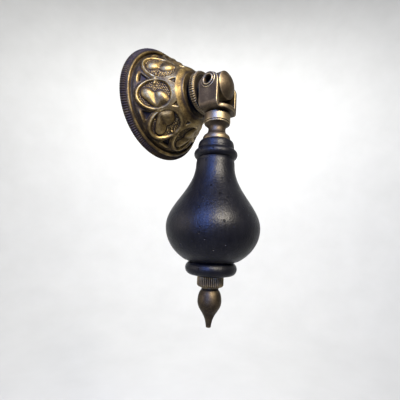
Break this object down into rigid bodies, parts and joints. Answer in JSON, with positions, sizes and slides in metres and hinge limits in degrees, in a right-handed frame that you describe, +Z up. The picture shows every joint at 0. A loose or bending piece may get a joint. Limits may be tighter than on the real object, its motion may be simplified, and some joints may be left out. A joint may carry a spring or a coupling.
{
  "type": "pendant door knocker",
  "caption": "Pendant door knocker: a round embossed rosette holds a spindle, and a turned wooden drop with a metal finial swings from it on a clevis and a tubular pin.",
  "frame": {"origin": "centre of the rosette's back, on the axis of the tapped fixing hole, in the plane of the door", "axes": "+Z up, the door is the plane y = 0, the front faces -Y, and the hinge pin lies along X"},
  "size_m": [0.05, 0.0475, 0.1155],
  "materials": {
    "rosette_brass": "antique, dark in the recesses and rubbed bright on the raised parts",
    "bronze": "satin brown bronze",
    "dark_bronze": "satin dark bronze",
    "black_wood": "satin black over a fine grain",
    "zinc_steel": "dull zinc plate"
  },
  "bodies": {
    "backplate": {"rosette": "rosette_brass", "neck_collar": "bronze", "knurled_washer": "bronze", "spindle": "bronze", "backing_washer": "zinc_steel", "spring_washer": "zinc_steel", "lock_nut": "zinc_steel"},
    "drop": {"clevis": "bronze", "pivot_pin": "bronze", "tie_bolt": "zinc_steel", "clevis_washer": "bronze", "ferrule": "bronze", "wooden_drop": "black_wood", "knurled_ring": "dark_bronze", "finial": "dark_bronze"}
  },
  "joints": [
    {"name": "drop_swing", "type": "hinge", "parent": "backplate", "child": "drop", "pos_m": [0, -0.0302, 0], "axis": [-1, 0, 0], "range_deg": [-13.5, 183]}
  ]
}
